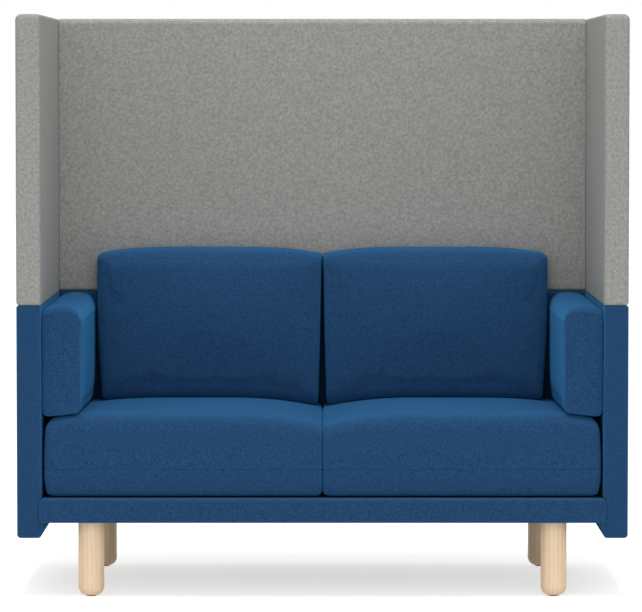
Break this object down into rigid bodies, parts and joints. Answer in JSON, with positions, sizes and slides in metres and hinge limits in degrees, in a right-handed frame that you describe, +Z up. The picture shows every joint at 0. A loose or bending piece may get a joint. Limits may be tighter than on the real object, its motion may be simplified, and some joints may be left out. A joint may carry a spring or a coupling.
{
  "type": "high back acoustic sofa",
  "caption": "Two-seat lounge sofa with padded side panels, tall grey acoustic screens round the back and sides, loose blue cushions and turned wooden legs.",
  "frame": {"origin": "on the floor, at the middle of the sofa's outline seen from above", "axes": "+Z up, +X to the right of someone who stands in front of the sofa, -Y towards that person"},
  "size_m": [1.498, 0.796, 1.43],
  "materials": {
    "blue_wool": "woven wool upholstery over foam",
    "grey_felt": "mottled wool felt over acoustic foam",
    "ash": "turned ash, matt lacquer",
    "plywood": "bare plywood",
    "softwood": "planed pine",
    "beech_dowel": "fluted beech dowel",
    "steel": "zinc plated",
    "webbing": "elastic upholstery webbing",
    "deck_felt": "black pressed felt",
    "dust_cloth": "grey non-woven cloth",
    "glide_plastic": "moulded polyethylene"
  },
  "bodies": {
    "carcass": {"back_join_plate": "steel", "back_screen_core": "plywood", "back_screen_cover": "grey_felt", "centre_beam": "softwood", "cross_strap_1": "webbing", "cross_strap_2": "webbing", "dust_cover": "dust_cloth", "front_beam": "softwood", "front_rail_cover": "blue_wool", "left_beam": "softwood", "left_front_frame_bolt": "steel", "left_front_leg": "ash", "left_front_leg_bolt": "steel", "left_front_leg_glide": "glide_plastic", "left_join_plate": "steel", "left_leg_bearer": "plywood", "left_lower_dowel": "beech_dowel", "left_rear_frame_bolt": "steel", "left_rear_leg": "ash", "left_rear_leg_bolt": "steel", "left_rear_leg_glide": "glide_plastic", "left_screen_core": "plywood", "left_screen_cover": "grey_felt", "left_side_core": "plywood", "left_side_cover": "blue_wool", "left_upper_dowel": "beech_dowel", "lower_back_core": "plywood", "lower_back_cover": "blue_wool", "rear_beam": "softwood", "right_beam": "softwood", "right_front_frame_bolt": "steel", "right_front_leg": "ash", "right_front_leg_bolt": "steel", "right_front_leg_glide": "glide_plastic", "right_join_plate": "steel", "right_leg_bearer": "plywood", "right_lower_dowel": "beech_dowel", "right_rear_frame_bolt": "steel", "right_rear_leg": "ash", "right_rear_leg_bolt": "steel", "right_rear_leg_glide": "glide_plastic", "right_screen_core": "plywood", "right_screen_cover": "grey_felt", "right_side_core": "plywood", "right_side_cover": "blue_wool", "right_upper_dowel": "beech_dowel", "seat_deck": "deck_felt", "webbing_strap_1": "webbing", "webbing_strap_2": "webbing", "webbing_strap_3": "webbing", "webbing_strap_4": "webbing", "webbing_strap_5": "webbing", "webbing_strap_6": "webbing"},
    "left_seat_cushion_body": {"left_seat_cushion": "blue_wool"},
    "left_back_cushion_body": {"left_back_cushion": "blue_wool"},
    "left_arm_cushion_body": {"left_arm_cushion": "blue_wool"},
    "right_seat_cushion_body": {"right_seat_cushion": "blue_wool"},
    "right_back_cushion_body": {"right_back_cushion": "blue_wool"},
    "right_arm_cushion_body": {"right_arm_cushion": "blue_wool"}
  },
  "joints": [
    {"name": "left_seat_lift", "type": "slide", "parent": "carcass", "child": "left_seat_cushion_body", "axis": [0, -0.866, 0.5], "range_m": [0, 0.85]},
    {"name": "left_back_lift", "type": "slide", "parent": "left_seat_cushion_body", "child": "left_back_cushion_body", "axis": [0, -0.866, 0.5], "range_m": [0, 0.85]},
    {"name": "left_arm_lift", "type": "slide", "parent": "left_seat_cushion_body", "child": "left_arm_cushion_body", "axis": [0, -0.866, 0.5], "range_m": [0, 0.85]},
    {"name": "right_seat_lift", "type": "slide", "parent": "carcass", "child": "right_seat_cushion_body", "axis": [0, -0.866, 0.5], "range_m": [0, 0.85]},
    {"name": "right_back_lift", "type": "slide", "parent": "right_seat_cushion_body", "child": "right_back_cushion_body", "axis": [0, -0.866, 0.5], "range_m": [0, 0.85]},
    {"name": "right_arm_lift", "type": "slide", "parent": "right_seat_cushion_body", "child": "right_arm_cushion_body", "axis": [0, -0.866, 0.5], "range_m": [0, 0.85]}
  ]
}
